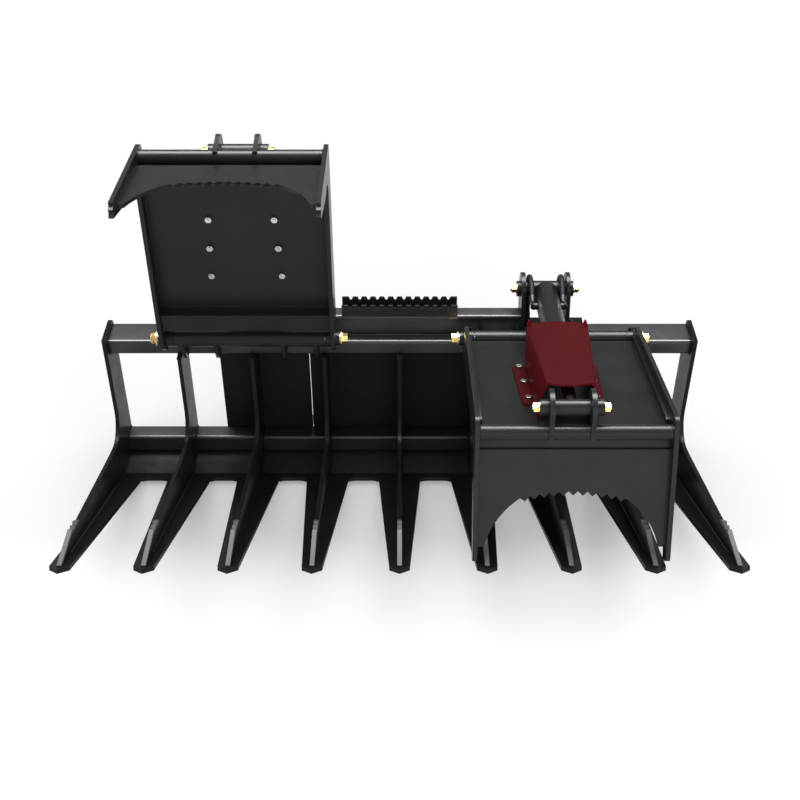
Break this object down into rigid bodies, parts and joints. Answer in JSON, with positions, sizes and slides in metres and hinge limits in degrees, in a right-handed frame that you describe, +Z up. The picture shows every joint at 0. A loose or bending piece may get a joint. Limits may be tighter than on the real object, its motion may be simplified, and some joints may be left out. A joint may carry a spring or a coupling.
{
  "type": "skeleton grapple bucket",
  "caption": "Skeleton grapple for a compact loader: tined bucket frame with a coupler back and two hydraulic grapple arms, one open and one closed.",
  "frame": {"origin": "on the back face that the loader's coupler seats on, at the middle of the coupler plates' width and height", "axes": "+Z up, +Y out of the back face towards the loader, -Y the way the tines point, +X to the right seen from the front with the tines towards the viewer"},
  "size_m": [1.8712, 0.9827, 1.2167],
  "materials": {
    "black_coat": "satin black powder coat",
    "bare_steel": "bare ground steel",
    "pin_steel": "plain machined steel",
    "gold_zinc": "yellow zinc plate on steel",
    "guard_red": "dark red paint",
    "rod_chrome": "hard chrome",
    "hose_rubber": "black rubber"
  },
  "bodies": {
    "frame": {"floor_plate": "black_coat", "end_plate_left": "black_coat", "end_plate_right": "black_coat", "rib_left_outer": "black_coat", "rib_left_middle": "black_coat", "rib_left_inner": "black_coat", "rib_centre": "black_coat", "rib_right_inner": "black_coat", "rib_right_middle": "black_coat", "rib_right_outer": "black_coat", "tine_noses": "bare_steel", "top_beam": "black_coat", "lower_tube": "black_coat", "upper_tube": "black_coat", "back_plate": "black_coat", "coupler_plate_left": "black_coat", "coupler_plate_right": "black_coat", "step": "black_coat", "tower_left": "black_coat", "tower_right": "black_coat", "base_eyes": "black_coat", "base_pins": "pin_steel", "base_pin_nuts": "gold_zinc", "pivot_tube_left": "black_coat", "pivot_tube_right": "black_coat", "pivot_tabs": "black_coat", "hoses_left": "hose_rubber", "hoses_right": "hose_rubber"},
    "arm_left": {"arm_sides_left": "black_coat", "arm_deck_left": "black_coat", "arm_strips_left": "black_coat", "front_tube_left": "black_coat", "front_plate_left": "black_coat", "clevis_left": "black_coat", "guard_left": "guard_red", "guard_bolts_left": "pin_steel", "pivot_pins_left": "pin_steel", "pivot_bolts_left": "gold_zinc", "rod_pin_left": "pin_steel", "rod_pin_nuts_left": "gold_zinc"},
    "rod_left": {"rod_left": "rod_chrome", "piston_left": "pin_steel"},
    "barrel_left": {"barrel_left": "black_coat", "gland_left": "black_coat"},
    "arm_right": {"arm_sides_right": "black_coat", "arm_deck_right": "black_coat", "arm_strips_right": "black_coat", "front_tube_right": "black_coat", "front_plate_right": "black_coat", "clevis_right": "black_coat", "guard_right": "guard_red", "guard_bolts_right": "pin_steel", "pivot_pins_right": "pin_steel", "pivot_bolts_right": "gold_zinc", "rod_pin_right": "pin_steel", "rod_pin_nuts_right": "gold_zinc"},
    "rod_right": {"rod_right": "rod_chrome", "piston_right": "pin_steel"},
    "barrel_right": {"barrel_right": "black_coat", "gland_right": "black_coat"}
  },
  "joints": [
    {"name": "arm_pivot_left", "type": "hinge", "parent": "frame", "child": "arm_left", "pos_m": [-0.4585, -0.1416, 0.2489], "axis": [1, 0, 0], "range_deg": [0, 75]},
    {"name": "rod_swing_left", "type": "hinge", "parent": "arm_left", "child": "rod_left", "pos_m": [-0.4463, -0.10072, 0.85645], "axis": [-1, 0, 0], "range_deg": [0, 1.58]},
    {"name": "cylinder_stroke_left", "type": "slide", "parent": "rod_left", "child": "barrel_left", "axis": [0, 0.1535, -0.9882], "range_m": [0, 0.19048]},
    {"name": "arm_pivot_right", "type": "hinge", "parent": "frame", "child": "arm_right", "pos_m": [0.4585, -0.1416, 0.2489], "axis": [-1, 0, 0], "range_deg": [0, 75]},
    {"name": "rod_swing_right", "type": "hinge", "parent": "arm_right", "child": "rod_right", "pos_m": [0.4463, -0.71786, 0.44563], "axis": [1, 0, 0], "range_deg": [0, 1.58]},
    {"name": "cylinder_stroke_right", "type": "slide", "parent": "rod_right", "child": "barrel_right", "axis": [0, -0.9909, 0.1349], "range_m": [0, 0.19048]}
  ],
  "couplings": [
    {"joint": "rod_swing_left", "follows": "arm_pivot_left", "ratio": 0.021106},
    {"joint": "cylinder_stroke_left", "follows": "arm_pivot_left", "m_per_rad": 0.14551},
    {"joint": "rod_swing_right", "follows": "arm_pivot_right", "ratio": 0.021106},
    {"joint": "cylinder_stroke_right", "follows": "arm_pivot_right", "m_per_rad": 0.14551}
  ]
}
